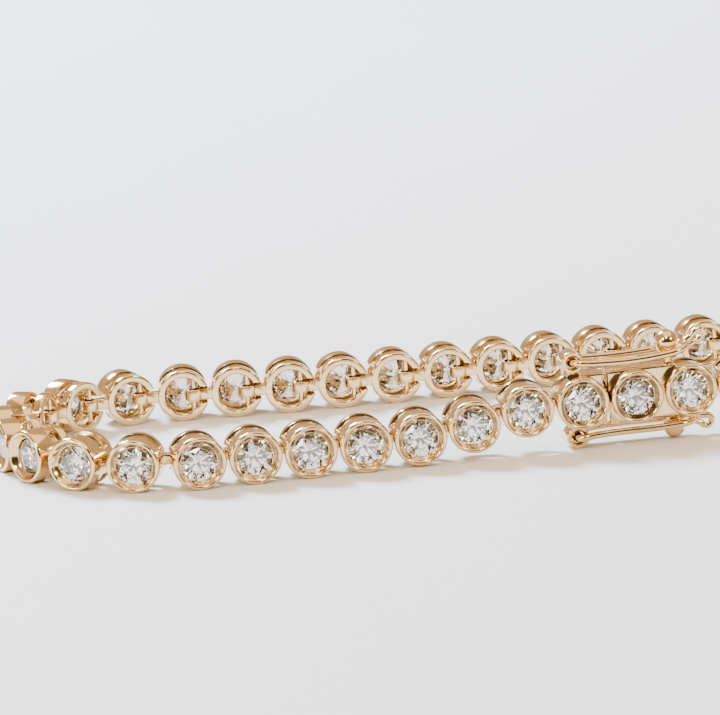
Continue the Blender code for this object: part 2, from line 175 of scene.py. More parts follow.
# The pins' route round the loop, from the clasp's left end to its right end; the far bend slides along X
# until the chain closes
ROUTE_START = (1.7 * MM, -10.7 * MM)
NEAR_ROUTE = [
    (-11.0 * MM, -10.5 * MM),
    (-23.8 * MM, -10.54 * MM),
    (-28.05 * MM, -10.53 * MM),
    (-32.07 * MM, -9.09 * MM),
    (-35.4 * MM, -6.43 * MM),
    (-37.39 * MM, -2.65 * MM),
    (-38.21 * MM, 1.54 * MM),
    (-37.54 * MM, 5.76 * MM),
    (-35.25 * MM, 9.36 * MM),
    (-31.7 * MM, 11.74 * MM),
    (-27.5 * MM, 12.51 * MM),
    (-23.27 * MM, 11.98 * MM),
    (-14.79 * MM, 10.98 * MM),
    (-1.98 * MM, 10.74 * MM),
    (10.82 * MM, 11.13 * MM),
    (19.36 * MM, 11.22 * MM),
]
FAR_BEND = [
    (28.8 * MM, 10.7 * MM),
    (34.4 * MM, 7.6 * MM),
    (37.2 * MM, 2.4 * MM),
    (37.1 * MM, -2.9 * MM),
    (34.0 * MM, -8.0 * MM),
    (28.9 * MM, -10.9 * MM),
]
FAR_BEND_SLIDE = (-14.0 * MM, 24.0 * MM)
CLOSING_STEPS = 60
ROUTE_STEPS = 24
LEFT_RAMP = (0.9, 0.3, 0.02)
RIGHT_RAMP = (0.88, 0.52, 0.15)

# The stone's proportions, as shares of its radius, and its two angles
TABLE_SHARE = 0.57
CROWN_JUNCTION = 0.76
PAVILION_JUNCTION = 0.24
GIRDLE_SHARE = 0.05
CULET_SHARE = 0.015
CROWN_ANGLE = math.radians(34.5)
PAVILION_ANGLE = math.radians(40.8)
MAIN_FACETS = 8
FACET_TOLERANCE = math.radians(0.5)

# Each latch's heights and places, counted from the middle bezel's axis
UPPER = {
    "side": 1,
    "pivot_height": 3.1 * MM,
    "leg_height": 2.95 * MM,
    "ball_height": 3.68 * MM,
    "ball_radius": 0.93 * MM,
    "ball_place": 2.95 * MM,
    "loop_end": 4.4 * MM,
    "end_height": 3.3 * MM,
    "thumb_place": 5.4 * MM,
    "thumb_height": 3.9 * MM,
    "thumb_size": (0.6 * MM, 0.34 * MM),
    "thumb_tilt": math.radians(36),
}
LOWER = {
    "side": -1,
    "pivot_height": 2.75 * MM,
    "leg_height": 2.62 * MM,
    "ball_height": 2.98 * MM,
    "ball_radius": 0.85 * MM,
    "ball_place": 3.08 * MM,
    "loop_end": 4.6 * MM,
    "end_height": 2.55 * MM,
    "thumb_place": 5.65 * MM,
    "thumb_height": 2.85 * MM,
    "thumb_size": (0.44 * MM, 0.42 * MM),
    "thumb_tilt": math.radians(25),
}


def length(name, description, millimetres):
    """A length for the sidebar, given in millimetres."""
    return bpy.props.FloatProperty(name=name, description=description, default=millimetres * MM,
                                   min=0.0, unit="LENGTH", precision=6)


def colour(name, description, code):
    """A colour for the sidebar, given as an sRGB hex value."""
    return bpy.props.FloatVectorProperty(name=name, description=description, subtype="COLOR",
                                         size=3, min=0.0, max=1.0, default=linear(code))


def linear(code):
    """The linear colour of an sRGB hex value."""
    channels = [int(code[i:i + 2], 16) / 255 for i in (1, 3, 5)]
    return [c / 12.92 if c <= 0.04045 else ((c + 0.055) / 1.055) ** 2.4 for c in channels]


class BraceletSizes(bpy.types.PropertyGroup):
    """The sizes that the settings, stones and clasp share"""

    link_pitch: length("Link pitch", "From one hinge pin to the next", 4.27)
    bezel_radius: length("Bezel radius", "The cup's outer radius", 2.05)
    crest_radius: length("Crest radius", "Where the bezel's rounded bead stands highest", 1.86)
    bead_radius: length("Bead radius", "Where the bead meets the bevel inside it", 1.67)
    rim_round: length("Rim rounding", "Depth of the bead's rounding", 0.22)
    lip_radius: length("Lip radius", "The edge of metal that holds the stone", 1.39)
    lip_depth: length("Lip depth", "How far the lip lies behind the crest", 0.46)
    stone_radius: length("Stone radius", "The round brilliant's girdle radius", 1.5)
    girdle_depth: length("Girdle depth", "How far the stone's girdle lies behind the crest", 0.78)
    cup_depth: length("Cup depth", "From the crest to the gallery slot", 1.55)
    slot_depth: length("Slot depth", "Width of the gallery slot along the axis", 0.95)
    link_depth: length("Link depth", "From the crest to the back of the rear ring", 3.2)
    slot_start: length("Slot start", "Height above the axis at which the gallery slots begin", 0.95)
    bore_radius: length("Bore radius", "The hole through the rear ring", 1.45)
    edge_round: length("Edge rounding", "The polished-off edges of the castings", 0.05)
    hinge_depth: length("Hinge depth", "From the crest to the hinge pin", 2.72)
    pin_inset: length("Pin inset", "From the link's axis to its hinge pin", 0.85)
    pin_radius: length("Pin radius", "The hinge pin", 0.2)
    eye_hole_radius: length("Eye hole radius", "The hole in the tab's eye", 0.42)
    eye_radius: length("Eye radius", "The tab's rounded end", 0.7)
    tab_height: length("Tab height", "The tab between two links", 0.84)
    tab_width: length("Tab width", "The tab along the axis", 0.8)
    clasp_depth: length("Clasp depth", "From the crest to the clasp's back", 3.4)
    clasp_front: length("Clasp front", "From the crest to the box's front face", 0.9)
    clasp_split: length("Clasp split", "The gap between the tongue's part and the box's part", 0.3)
    box_end: length("Box end", "Where the box ends, from the middle bezel's axis", 3.45)
    wire_radius: length("Latch wire radius", "The safety latches' wire", 0.28)
    tube_radius: length("Tube radius", "The tubes that the latches turn in", 0.88)
    tube_bore: length("Tube bore", "The tubes' holes", 0.5)
    tube_length: length("Tube length", "The tubes' length along the axis", 1.7)
    tube_front: length("Tube front", "From the crest to the tubes' front ends", 0.95)
    tube_recess: length("Tube recess", "From a tube's ends to the ends of the thicker wire in it", 0.3)
    pivot_shift: length("Pivot shift", "From the tongue bezel's axis to the latches' pivots", 0.4)
    latch_gap: length("Latch gap", "Between the two legs of a latch", 2.6)
    latch_bend: length("Latch bend", "The bends of the latch wire", 0.45)
    thumb_wire: length("Thumb loop wire", "The wire of the small loop at the latch's end", 0.25)
    latch_pin: length("Latch pin", "The thicker wire inside a tube", 0.37)
    neck_radius: length("Neck radius", "The ball stud's neck", 0.35)


class BraceletFinish(bpy.types.PropertyGroup):
    """The colours of the bracelet and its table"""

    gold: colour("Rose gold", "14 carat rose gold, polished", "#EFD2A0")
    gold_shade: colour("Gold clouds", "Where the polish is a little redder", "#E7C692")
    table: colour("Table", "The pale surface under the bracelet", "#EEEBE4")
    table_shade: colour("Table clouds", "Where the surface is a little darker", "#E8E4DC")


def pin_place(sizes):
    """The hinge pin's place in a link's axes."""
    return Vector((-sizes.pin_inset, sizes.hinge_depth, 0.0))


def eye_place(sizes):
    """The right-hand neighbour's pin, which the eye goes round."""
    return Vector((sizes.link_pitch - sizes.pin_inset, sizes.hinge_depth, 0.0))


def latch_middle(sizes):
    """The latches' depth, halfway along their tubes."""
    return sizes.tube_front + sizes.tube_length / 2


def pivot_place(sizes):
    """Where along the chain the latches turn."""
    return -sizes.link_pitch - sizes.pivot_shift


def clear_selection():
    if bpy.context.object and bpy.context.object.mode != "OBJECT":
        bpy.ops.object.mode_set(mode="OBJECT")
    bpy.ops.object.select_all(action="DESELECT")


def choose(*pieces):
    """Select these pieces and nothing else."""
    clear_selection()
    for piece in pieces:
        piece.select_set(True)
    bpy.context.view_layer.objects.active = pieces[0]
    return pieces[0]


def named(name):
    """Name the piece that was just added and settle its turn and size in its mesh."""
    piece = bpy.context.object
    piece.name = name
    piece.data.name = name
    bpy.ops.object.transform_apply(location=True, rotation=True, scale=True)
    return piece


def edit(piece):
    choose(piece)
    bpy.ops.object.mode_set(mode="EDIT")
    bpy.ops.mesh.select_all(action="SELECT")


def leave_edit():
    bpy.ops.object.mode_set(mode="OBJECT")


def modify(piece, kind, **settings):
    """Add a modifier with its settings and apply it."""
    choose(piece)
    modifier = piece.modifiers.new(kind.lower(), kind)
    for key, value in settings.items():
        setattr(modifier, key, value)
    bpy.ops.object.modifier_apply(modifier=modifier.name)
    return piece


def combine(piece, others, operation, crossing=False):
    """Join or cut, one piece after the other; crossing wires need the slower reading of themselves."""
    for other in others:
        modify(piece, "BOOLEAN", object=other, operation=operation, solver="EXACT", use_self=crossing)
        bpy.data.objects.remove(other, do_unlink=True)
    return piece


def fuse(piece, *others):
    return combine(piece, others, "UNION")


def cut(piece, *cutters):
    return combine(piece, cutters, "DIFFERENCE")


def soften(piece, width, segments=2, angle=math.radians(35)):
    """Polish off the sharp edges."""
    return modify(piece, "BEVEL", width=width, segments=segments, limit_method="ANGLE", angle_limit=angle,
                  use_clamp_overlap=True, loop_slide=False)


def tidy_mesh(piece):
    edit(piece)
    bpy.ops.mesh.remove_doubles(threshold=MERGE)
    bpy.ops.mesh.normals_make_consistent(inside=False)
    leave_edit()
    return piece


def turned(name, profile, segments):
    """A ring or disc turned about Y, drawn out ring by ring along a profile of (radius, depth)."""
    clear_selection()
    radius, depth = profile[0]
    bpy.ops.mesh.primitive_circle_add(vertices=segments, radius=radius, location=(0.0, depth, 0.0),
                                      rotation=(math.pi / 2, math.pi / segments, 0.0))
    piece = named(name)
    edit(piece)
    for next_radius, next_depth in profile[1:]:
        bpy.ops.mesh.extrude_edges_move(TRANSFORM_OT_translate={"value": (0.0, next_depth - depth, 0.0)})
        grow = next_radius / radius
        bpy.ops.transform.resize(value=(grow, 1.0, grow), center_override=(0.0, 0.0, 0.0))
        radius, depth = next_radius, next_depth
    leave_edit()
    return tidy_mesh(piece)


def block(name, low, high, edge_round=0.0):
    """A box between two corners, with rounded edges if asked."""
    low, high = Vector(low), Vector(high)
    clear_selection()
    bpy.ops.mesh.primitive_cube_add(size=1.0, location=(low + high) / 2, scale=high - low)
    piece = named(name)
    if edge_round:
        soften(piece, edge_round)
    return piece


def rod(name, radius, start, end, sides):
    start, end = Vector(start), Vector(end)
    turn = (end - start).to_track_quat("Z", "Y").to_euler()
    clear_selection()
    bpy.ops.mesh.primitive_cylinder_add(vertices=sides, radius=radius, depth=(end - start).length,
                                        location=(start + end) / 2, rotation=turn)
    return named(name)


def quarter(centre, radii, start, end, steps):
    """Points on an ellipse's arc, both ends included."""
    points = []
    for step in range(steps + 1):
        angle = start + (end - start) * step / steps
        points.append((centre[0] + radii[0] * math.cos(angle), centre[1] + radii[1] * math.sin(angle)))
    return points


def bezel_front(sizes):
    """The bezel's profile from the stone's seat over lip, bevel and bead to the cup's wall."""
    seat = sizes.stone_radius + SEAT_PLAY
    lip_centre = (sizes.lip_radius + LIP_ROUND, sizes.lip_depth + LIP_ROUND)
    crest_centre = (sizes.crest_radius, sizes.rim_round)
    bead = (sizes.crest_radius - sizes.bead_radius, sizes.rim_round)
    shoulder = (sizes.bezel_radius - sizes.crest_radius, sizes.rim_round)
    front = [
        (seat, sizes.girdle_depth + SEAT_BEHIND_GIRDLE),
        (seat, sizes.girdle_depth - SEAT_BEFORE_GIRDLE),
        (sizes.lip_radius + LIP_BACK[0], sizes.lip_depth + LIP_BACK[1]),
    ]
    front += quarter(lip_centre, (LIP_ROUND, LIP_ROUND), math.pi, 1.5 * math.pi, LIP_STEPS)
    front += quarter(crest_centre, bead, BEAD_START, 1.5 * math.pi, RIM_STEPS)
    front += quarter(crest_centre, shoulder, -math.pi / 2, 0.0, RIM_STEPS)[1:]
    return front


def bore_end(sizes, start):
    """The last points of a bezel's profile: up the bore, over the ledge and back to the start."""
    return [
        (sizes.bore_radius, sizes.girdle_depth + BORE_START),
        (sizes.bore_radius - LEDGE_WIDTH, sizes.girdle_depth + LEDGE_DEPTH),
        start,
    ]


def open_setting(sizes):
    """A bezel cup that runs on into the gallery and the rear ring."""
    ring = RING_ROUND
    back = sizes.link_depth - ring
    profile = bezel_front(sizes)
    profile += quarter((sizes.bezel_radius - ring, back), (ring, ring), 0.0, math.pi / 2, RIM_STEPS)
    profile += quarter((sizes.bore_radius + ring, back), (ring, ring), math.pi / 2, math.pi, RIM_STEPS)
    profile += bore_end(sizes, profile[0])
    return turned("setting", profile, BEZEL_SEGMENTS)


def gallery_slot(sizes, side):
    """The cutter for one crescent slot, above or below the axis."""
    near, far = sorted((side * sizes.slot_start, side * 2 * sizes.bezel_radius))
    return block("slot", (-2 * sizes.bezel_radius, sizes.cup_depth, near),
                 (2 * sizes.bezel_radius, sizes.cup_depth + sizes.slot_depth, far), SLOT_ROUND)


def hinge_notch(sizes):
    """The cutter for the notch that the neighbour's tab comes in through."""
    half = sizes.tab_height / 2 + NOTCH_PLAY
    return block("notch", (-2 * sizes.bezel_radius, sizes.cup_depth + NOTCH_SETBACK, -half),
                 (-sizes.bore_radius / 2, 2 * sizes.link_depth, half), NOTCH_ROUND)


def pierced_setting(sizes, notched):
    """An open setting with its gallery slots and, if asked, the notch for its neighbour's tab."""
    setting = open_setting(sizes)
    cut(setting, gallery_slot(sizes, 1), gallery_slot(sizes, -1))
    if notched:
        cut(setting, hinge_notch(sizes))
    return soften(setting, sizes.edge_round)


def hinge_pin(sizes):
    """The upright pin that a neighbour's eye goes round, held in the rear ring."""
    middle = (sizes.bore_radius + sizes.bezel_radius) / 2
    reach = math.sqrt(middle ** 2 - sizes.pin_inset ** 2)
    place = pin_place(sizes)
    up = Vector((0.0, 0.0, reach))
    return rod("pin", sizes.pin_radius, place - up, place + up, PIN_SEGMENTS)


def hinge_tab(sizes):
    """The tab that reaches from a link's right side to its eye, with a rounded end and rounded faces."""
    place = eye_place(sizes)
    half = sizes.tab_height / 2
    up = Vector((0.0, 0.0, half))
    eye = rod("eye", sizes.eye_radius, place - up, place + up, EYE_SEGMENTS)
    root = (sizes.bore_radius + sizes.bezel_radius) / 2
    bar = block("bar", (root, sizes.hinge_depth - sizes.tab_width / 2, -half),
                (place.x, sizes.hinge_depth + sizes.tab_width / 2, half))
    fuse(eye, bar)
    soften(eye, TAB_ROUND, TAB_ROUND_STEPS, TAB_CORNER)
    return cut(eye, rod("hole", sizes.eye_hole_radius, place - 2 * up, place + 2 * up, HOLE_SEGMENTS))


def link_setting(sizes):
    """A single link without its stone."""
    setting = pierced_setting(sizes, notched=True)
    fuse(setting, hinge_pin(sizes), hinge_tab(sizes))
    return polish(setting)


def polish(piece):
    """Shade the rounded faces smooth and keep the true corners."""
    choose(piece)
    bpy.ops.object.shade_smooth_by_angle(angle=SMOOTH_ANGLE)
    return piece


def brilliant(sizes):
    """A round brilliant: rings of facet corners, closed by their convex hull."""
    radius = sizes.stone_radius
    half_girdle = GIRDLE_SHARE / 2
    half_step = math.pi / MAIN_FACETS
    crown_rise = math.tan(CROWN_ANGLE)
    pavilion_rise = math.tan(PAVILION_ANGLE)
    table_height = half_girdle + (1 - TABLE_SHARE) * crown_rise
    crown_height = half_girdle + (1 - CROWN_JUNCTION * math.cos(half_step)) * crown_rise
    pavilion_height = -half_girdle - (1 - PAVILION_JUNCTION * math.cos(half_step)) * pavilion_rise
    culet_height = -half_girdle - (1 - CULET_SHARE) * pavilion_rise
    rings = [
        (MAIN_FACETS, TABLE_SHARE, table_height, 0.0),
        (MAIN_FACETS, CROWN_JUNCTION, crown_height, half_step),
        (2 * MAIN_FACETS, 1.0, half_girdle, 0.0),
        (2 * MAIN_FACETS, 1.0, -half_girdle, 0.0),
        (MAIN_FACETS, PAVILION_JUNCTION, pavilion_height, half_step),
        (MAIN_FACETS, CULET_SHARE, culet_height, 0.0),
    ]
    clear_selection()
    corners = []
    for count, share, height, turn in rings:
        bpy.ops.mesh.primitive_circle_add(vertices=count, radius=share * radius,
                                          location=(0.0, 0.0, height * radius), rotation=(0.0, 0.0, turn))
        corners.append(named("facet_corners"))
    choose(*corners)
    bpy.ops.object.join()
    stone = bpy.context.object
    edit(stone)
    bpy.ops.mesh.convex_hull(face_threshold=FACET_TOLERANCE, shape_threshold=math.pi)
    bpy.ops.mesh.dissolve_limited(angle_limit=FACET_TOLERANCE)
    bpy.ops.mesh.normals_make_consistent(inside=False)
    leave_edit()
    stone.rotation_euler = (math.pi / 2, 0.0, 0.0)
    stone.location = (0.0, sizes.girdle_depth, 0.0)
    choose(stone)
    return named("stone")


def copied(piece, name):
    """A copy of the piece with a mesh of its own."""
    choose(piece)
    bpy.ops.object.duplicate()
    return named(name)


def lay(piece, matrix):
    """Lay a piece as the frame's own lies, with its place in its mesh."""
    choose(piece)
    piece.matrix_world = matrix
    bpy.ops.object.transform_apply(location=True, rotation=True, scale=True)
    return piece


def check_place(piece, node):
    """Stop if the piece isn't where the frame has its node."""
    low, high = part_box(node)
    for axis in range(3):
        places = [vertex.co[axis] for vertex in piece.data.vertices]
        if max(abs(min(places) - low[axis]), abs(max(places) - high[axis])) > LAY_TOLERANCE:
            raise RuntimeError(f"{piece.name} doesn't lie where {node} does")


def declare(piece, body, material, node=None):
    """Give a finished piece its material and tell the frame what it rides on and stands for."""
    piece.data.materials.clear()
    piece.data.materials.append(material)
    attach(piece, body)
    if node:
        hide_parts(node)


def smooth_route(points):
    """A finely stepped smooth curve through the points, straight on at both ends."""
    first = 2 * points[0] - points[1]
    last = 2 * points[-1] - points[-2]
    padded = [first] + points + [last]
    curve = []
    for a, b, c, d in zip(padded, padded[1:], padded[2:], padded[3:]):
        knots = [0.0]
        for start, end in ((a, b), (b, c), (c, d)):
            knots.append(knots[-1] + math.sqrt((end - start).length))
        for step in range(ROUTE_STEPS):
            t = knots[1] + (knots[2] - knots[1]) * step / ROUTE_STEPS
            curve.append(catmull_rom((a, b, c, d), knots, t))
    curve.append(points[-1])
    return curve


def catmull_rom(corners, knots, t):
    """A point on the curve through the middle two of four corners."""
    first, second, third = [blend(corners[i], corners[i + 1], knots[i], knots[i + 1], t) for i in range(3)]
    before = blend(first, second, knots[0], knots[2], t)
    after = blend(second, third, knots[1], knots[3], t)
    return blend(before, after, knots[1], knots[2], t)


def blend(a, b, low, high, t):
    return a.lerp(b, (t - low) / (high - low))


def step_along(curve, start, segment, distance):
    """The first point of the curve, from a segment on, at a distance from the start."""
    for i in range(segment, len(curve) - 1):
        if (curve[i + 1] - start).length >= distance:
            return intersect(curve[i], curve[i + 1], start, distance), i
    beyond = (curve[-1] - curve[-2]).normalized()
    missing = distance - (curve[-1] - start).length
    return curve[-1] + beyond * missing, len(curve) - 2


def intersect(a, b, centre, distance):
    """Where the line from a to b leaves the circle about the centre."""
    along = (b - a).normalized()
    foot = a + along * (centre - a).dot(along)
    return foot + along * math.sqrt(distance ** 2 - (foot - centre).length_squared)


def clasp_heights(sizes):
    """The heights of the clasp's two end hinges, with its lower tube and lower ball on the surface."""
    tube_reach = LOWER["pivot_height"] + sizes.tube_radius
    ball_reach = LOWER["ball_height"] + LOWER["ball_radius"]
    slope = (ball_reach - tube_reach) / (LOWER["ball_place"] - pivot_place(sizes))
    middle = tube_reach - slope * pivot_place(sizes) + math.pi / FRAME_SIDES * sizes.tube_radius * slope
    left = middle + slope * (-sizes.link_pitch - sizes.pin_inset)
    right = middle + slope * (sizes.link_pitch + eye_place(sizes).x)
    return left, right


def hinge_heights(sizes):
    """Each hinge's height, from the clasp's left end round to its right end."""
    left, right = clasp_heights(sizes)
    level = sizes.bezel_radius
    heights = [level] * (SINGLE_LINKS + 1)
    heights[0] = left
    heights[-1] = right
    for i, share in enumerate(LEFT_RAMP):
        heights[1 + i] = level + share * (left - level)
    for i, share in enumerate(RIGHT_RAMP):
        heights[-2 - i] = level + share * (right - level)
    return heights


def lay_hinges(slide, heights, pitch):
    """Step from hinge to hinge with the far bend slid along X; also tell how far the last one falls short."""
    start = Vector(ROUTE_START)
    rise = heights[-1] - heights[0]
    clasp_run = math.sqrt((3 * pitch) ** 2 - rise ** 2)
    end = start + Vector((clasp_run, 0.0))
    far = [Vector((x + slide, y)) for x, y in FAR_BEND]
    curve = smooth_route([start] + [Vector(point) for point in NEAR_ROUTE] + far + [end])
    hinges = [start]
    segment = 0
    for i in range(1, SINGLE_LINKS):
        run = math.sqrt(pitch ** 2 - (heights[i] - heights[i - 1]) ** 2)
        point, segment = step_along(curve, hinges[-1], segment, run)
        hinges.append(point)
    last_run = math.sqrt(pitch ** 2 - (heights[-1] - heights[-2]) ** 2)
    excess = (end - hinges[-1]).length - last_run
    return hinges + [end], excess


def closed_hinges(sizes):
    """Slide the far bend until the last link just reaches the clasp, and centre the loop."""
    heights = hinge_heights(sizes)
    low, high = FAR_BEND_SLIDE
    for _ in range(CLOSING_STEPS):
        slide = (low + high) / 2
        hinges, excess = lay_hinges(slide, heights, sizes.link_pitch)
        if excess < 0:
            low = slide
        else:
            high = slide
    middle_x = (min(h.x for h in hinges) + max(h.x for h in hinges)) / 2
    middle_y = (min(h.y for h in hinges) + max(h.y for h in hinges)) / 2
    return [Vector((h.x - middle_x, h.y - middle_y, z)) for h, z in zip(hinges, heights)]


def pose(sizes, left_hinge, right_hinge, left_place):
    """The matrix that lays a piece's hinge line, at left_place in its own axes, between two hinges."""
    along = (right_hinge - left_hinge).normalized()
    inwards = Vector((0.0, 0.0, 1.0)).cross(along).normalized()
    up = along.cross(inwards)
    turn = Matrix((along, inwards, up)).transposed().to_4x4()
    return (Matrix.Translation(left_hinge) @ turn
            @ Matrix.Translation((-left_place, -sizes.hinge_depth, 0.0)))


def link_poses(sizes):
    """The matrix of each single link, from the clasp's left end round to its right end."""
    hinges = closed_hinges(sizes)
    return [pose(sizes, hinges[i], hinges[i - 1], -sizes.pin_inset) for i in range(1, SINGLE_LINKS + 1)]


def clasp_pose(sizes):
    """The matrix of the clasp and its latches."""
    hinges = closed_hinges(sizes)
    return pose(sizes, hinges[0], hinges[-1], -sizes.link_pitch - sizes.pin_inset)


def slide_along(piece, x):
    """Slide a workpiece along the chain."""
    return lay(piece, Matrix.Translation((x, 0.0, 0.0)))


def latch_tube(sizes, latch):
    """A short rounded tube with its seat on the tongue's bezel, for a latch to turn in."""
    height = latch["side"] * latch["pivot_height"]
    front = sizes.tube_front
    back = front + sizes.tube_length
    ring = TUBE_ROUND
    profile = quarter((sizes.tube_bore + ring, front + ring), (ring, ring), math.pi, 1.5 * math.pi, LIP_STEPS)
    profile += quarter((sizes.tube_radius - ring, front + ring), (ring, ring), -math.pi / 2, 0.0, LIP_STEPS)
    profile += quarter((sizes.tube_radius - ring, back - ring), (ring, ring), 0.0, math.pi / 2, LIP_STEPS)
    profile += quarter((sizes.tube_bore + ring, back - ring), (ring, ring), math.pi / 2, math.pi, LIP_STEPS)
    profile.append(profile[0])
    tube = turned("tube", profile, TUBE_SEGMENTS)
    lay(tube, Matrix.Translation((pivot_place(sizes), 0.0, height)))
    root = latch["side"] * (sizes.bezel_radius - ROOT_SINK)
    reach = height - latch["side"] * (sizes.tube_radius + sizes.tube_bore) / 2
    low, high = sorted((root, reach))
    seat = block("seat", (pivot_place(sizes) - SEAT_HALF_WIDTH, front + SEAT_INSET, low),
                 (pivot_place(sizes) + SEAT_HALF_WIDTH, back - SEAT_INSET, high))
    return fuse(tube, seat)


def ball_stud(sizes, latch):
    """The ball on its waisted neck that a latch snaps over."""
    centre = Vector((latch["ball_place"], latch_middle(sizes), latch["side"] * latch["ball_height"]))
    root = Vector((centre.x, centre.y, latch["side"] * (sizes.bezel_radius - ROOT_SINK)))
    clear_selection()
    bpy.ops.mesh.primitive_uv_sphere_add(segments=BALL_SEGMENTS, ring_count=BALL_RINGS,
                                         radius=latch["ball_radius"], location=centre)
    return fuse(named("ball"), rod("neck", sizes.neck_radius, root, centre, NECK_SEGMENTS))


def backing(sizes, left, right):
    """A length of the clasp's box, with the polished edges of its plates."""
    return block("backing", (left, sizes.clasp_front, -sizes.bezel_radius),
                 (right, sizes.clasp_depth, sizes.bezel_radius), PLATE_ROUND)


def corner_pocket(sizes, middle, depth):
    """The cutter for the pocket between two bezels, under the upper edge of the box's plate."""
    left, right = middle - POCKET_HALF_WIDTH, middle + POCKET_HALF_WIDTH
    return block("pocket", (left, sizes.clasp_front - POCKET_REACH, POCKET_FLOOR),
                 (right, sizes.clasp_front + depth, sizes.bezel_radius - POCKET_EDGE))


def tongue_middle(sizes):
    """The tongue's depth, in the hollow between the box's bezels and its back wall."""
    return (sizes.cup_depth + sizes.clasp_depth) / 2


def clasp_tongue_body(sizes):
    """The clasp's left part: an open bezel on its backing, the tongue and the two latch tubes."""
    split = -(sizes.link_pitch + sizes.clasp_split) / 2
    setting = pierced_setting(sizes, notched=True)
    fuse(setting, hinge_pin(sizes))
    slide_along(setting, -sizes.link_pitch)
    plates = backing(sizes, -sizes.link_pitch, split)
    pocket = corner_pocket(sizes, -sizes.link_pitch / 2, TONGUE_POCKET_DEPTH)
    cut(plates, pocket, stone_room(sizes, -sizes.link_pitch))
    middle = tongue_middle(sizes)
    thick, high = TONGUE_HALF
    tongue = block("tongue", (split - TONGUE_ROOT, middle - thick, -high),
                   (split + TONGUE_LENGTH, middle + thick, high), TONGUE_ROUND)
    fuse(setting, plates, tongue, latch_tube(sizes, UPPER), latch_tube(sizes, LOWER))
    return polish(setting)


def stone_room(sizes, x):
    """The cutter for the hollow behind a stone, which lets light into it."""
    front = sizes.girdle_depth + ROOM_START - ROOM_REACH
    return rod("room", sizes.bore_radius, (x, front, 0.0), (x, sizes.clasp_depth - BACK_WALL, 0.0),
               BEZEL_SEGMENTS)


def closed_setting(sizes):
    """A bezel cup whose back is in the box."""
    profile = bezel_front(sizes)
    back = sizes.cup_depth + CUP_IN_BOX
    profile += [(sizes.bezel_radius, back), (sizes.bore_radius, back)]
    profile += bore_end(sizes, profile[0])
    return turned("closed_setting", profile, BEZEL_SEGMENTS)


def clasp_box_body(sizes):
    """The clasp's right part: two bezels on the hollow box, the ball studs and the end tab."""
    pitch = sizes.link_pitch
    split = (sizes.clasp_split - pitch) / 2
    box = backing(sizes, split, sizes.box_end)
    for middle in (-pitch / 2, pitch / 2):
        cut(box, corner_pocket(sizes, middle, BOX_POCKET_DEPTH))
    cut(box, stone_room(sizes, 0.0), stone_room(sizes, pitch))
    middle = tongue_middle(sizes)
    thick, high = HOLLOW_HALF
    hollow = block("hollow", (split - HOLLOW_REACH, middle - thick, -high),
                   (split + TONGUE_LENGTH, middle + thick, high))
    cut(box, hollow)
    end = pierced_setting(sizes, notched=False)
    fuse(end, hinge_tab(sizes))
    slide_along(end, pitch)
    fuse(box, closed_setting(sizes), end, ball_stud(sizes, UPPER), ball_stud(sizes, LOWER))
    box.name = "clasp_box_body"
    return polish(box)


def bent_wire(name, points, radius):
    """A closed loop of round wire, bent smoothly through the points."""
    clear_selection()
    bpy.ops.curve.primitive_bezier_circle_add()
    wire = bpy.context.object
    wire.name = name
    wire.data.dimensions = "3D"
    wire.data.splines.clear()
    spline = wire.data.splines.new("BEZIER")
    spline.bezier_points.add(len(points) - 1)
    for corner, place in zip(spline.bezier_points, points):
        corner.co = place
        corner.handle_left_type = "AUTO"
        corner.handle_right_type = "AUTO"
    spline.use_cyclic_u = True
    spline.resolution_u = WIRE_STEPS
    wire.data.bevel_depth = radius
    wire.data.bevel_resolution = WIRE_ROUNDNESS
    bpy.ops.object.convert(target="MESH")
    return tidy_mesh(named(name))


def safety_latch(sizes, shape):
    """A figure-eight of wire: the long loop from the tube's pin round the ball, and the thumb's loop."""
    side = shape["side"]
    pivot = side * shape["pivot_height"]
    leg = side * shape["leg_height"]
    end = side * shape["end_height"]
    half = sizes.latch_gap / 2
    bend = sizes.latch_bend
    place = pivot_place(sizes)
    straight_end = shape["ball_place"]
    tip = shape["loop_end"]
    # The front leg's points, set back from the corners by shares of the wire's bend
    front_leg = [
        (place, half - 2.2 * bend, pivot),
        (place, half - bend, pivot),
        (place + bend / 2, half - bend / 4, pivot),
        (place + 3 * bend, half, leg),
        (straight_end - bend, half, leg),
        ((straight_end + tip) / 2, half - bend / 3, (leg + end) / 2),
        (tip - bend / 4, half - 1.5 * bend, end),
    ]
    middle = latch_middle(sizes)
    loop = [(x, middle - y, z) for x, y, z in front_leg]
    loop += [(x, middle + y, z) for x, y, z in reversed(front_leg)]
    thumb = (shape["thumb_place"], side * shape["thumb_height"])
    away = side * shape["thumb_tilt"]
    sweep = math.pi - THUMB_OPENING
    teardrop = quarter((0.0, 0.0), shape["thumb_size"], -sweep, sweep, THUMB_STEPS)
    thumb_loop = [(tip, middle, end)]
    for along, across in teardrop:
        thumb_loop.append((thumb[0] + along * math.cos(away) - across * math.sin(away), middle,
                           thumb[1] + along * math.sin(away) + across * math.cos(away)))
    wire = bent_wire("latch_wire", loop, sizes.wire_radius)
    pin_front = sizes.tube_front + sizes.tube_recess
    pin_back = sizes.tube_front + sizes.tube_length - sizes.tube_recess
    pin = rod("latch_pin", sizes.latch_pin, (place, pin_front, pivot), (place, pin_back, pivot),
              HOLE_SEGMENTS)
    combine(wire, [bent_wire("thumb_wire", thumb_loop, sizes.thumb_wire), pin], "UNION", crossing=True)
    choose(wire)
    bpy.ops.object.shade_smooth()
    return wire


